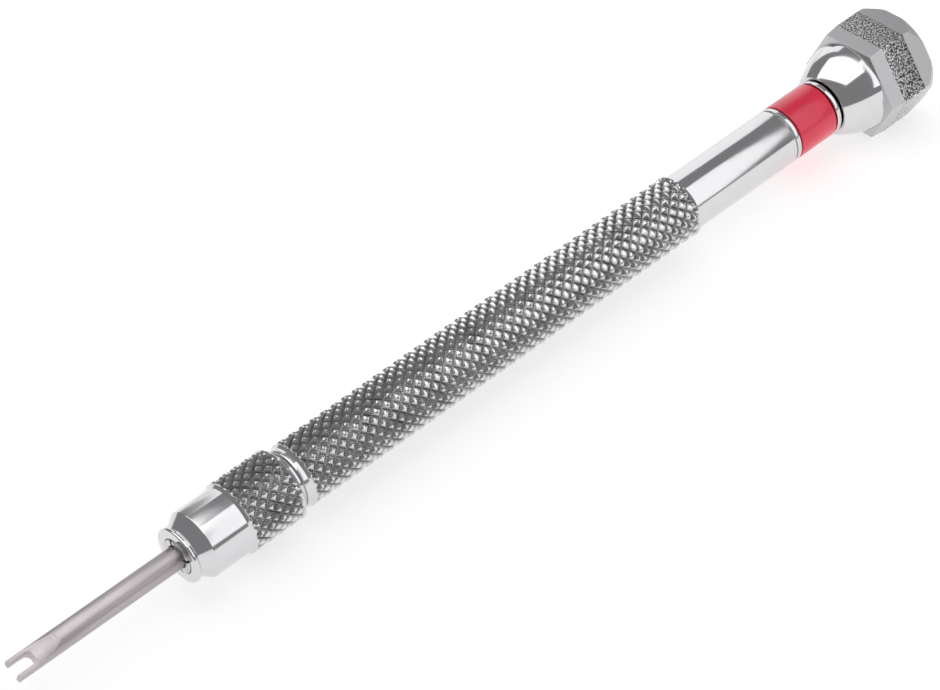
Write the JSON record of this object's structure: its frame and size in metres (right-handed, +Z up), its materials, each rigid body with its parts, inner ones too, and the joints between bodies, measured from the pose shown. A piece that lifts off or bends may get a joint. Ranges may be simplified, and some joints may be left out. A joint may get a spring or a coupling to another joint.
{
  "type": "case back opener",
  "caption": "Slim fork-bladed watch case back opener with a chuck, knurled steel barrel, red colour ring and hexagonal swivel head.",
  "frame": {"origin": "under the middle of the tool's length, level with the lowest flat of the head", "axes": "+X along the tool's axis from the fork towards the head, +Z up with a flat of the head facing down"},
  "size_m": [0.1294, 0.0138, 0.012],
  "materials": {
    "blade_steel": "satin ground steel",
    "collet_steel": "turned steel",
    "chuck_steel": "polished nose and diamond-knurled collar",
    "barrel_steel": "diamond-knurled grip and polished neck",
    "ring_red": "glossy red lacquer",
    "polished_steel": "polished",
    "bearing_steel": "ground and lapped",
    "pressed_steel": "pressed sheet and spring steel",
    "head_steel": "polished, with light wear on its edges"
  },
  "bodies": {
    "handle": {"barrel": "barrel_steel", "colour_ring": "ring_red", "flanged_spacer": "polished_steel", "axle_screw": "polished_steel", "bearing_inner_ring": "bearing_steel"},
    "head": {"head_body": "head_steel", "finger_rest": "head_steel", "retaining_clip": "pressed_steel", "bearing_outer_ring": "bearing_steel", "bearing_shield_front": "pressed_steel", "bearing_shield_rear": "pressed_steel"},
    "ball_set": {"bearing_cage": "pressed_steel", "bearing_ball_1": "bearing_steel", "bearing_ball_2": "bearing_steel", "bearing_ball_3": "bearing_steel", "bearing_ball_4": "bearing_steel", "bearing_ball_5": "bearing_steel", "bearing_ball_6": "bearing_steel", "bearing_ball_7": "bearing_steel"},
    "collet": {"collet": "collet_steel"},
    "chuck_nut": {"chuck_nut": "chuck_steel"},
    "blade": {"fork_blade": "blade_steel"}
  },
  "joints": [
    {"name": "head_swivel", "type": "hinge", "parent": "handle", "child": "head", "pos_m": [0.05681, 0, 0.006], "axis": [1, 0, 0], "continuous": true},
    {"name": "ball_set_orbit", "type": "hinge", "parent": "handle", "child": "ball_set", "pos_m": [0.05681, 0, 0.006], "axis": [1, 0, 0], "continuous": true},
    {"name": "collet_travel", "type": "slide", "parent": "handle", "child": "collet", "axis": [-1, 0, 0], "range_m": [0, 0.0015]},
    {"name": "chuck_nut_turn", "type": "hinge", "parent": "collet", "child": "chuck_nut", "pos_m": [-0.03669, 0, 0.006], "axis": [-1, 0, 0], "range_deg": [0, 1080]},
    {"name": "blade_pull", "type": "slide", "parent": "collet", "child": "blade", "axis": [-1, 0, 0], "range_m": [0, 0.018]}
  ],
  "couplings": [
    {"joint": "ball_set_orbit", "follows": "head_swivel", "ratio": 0.64436},
    {"joint": "chuck_nut_turn", "follows": "collet_travel", "rad_per_m": 12566}
  ]
}
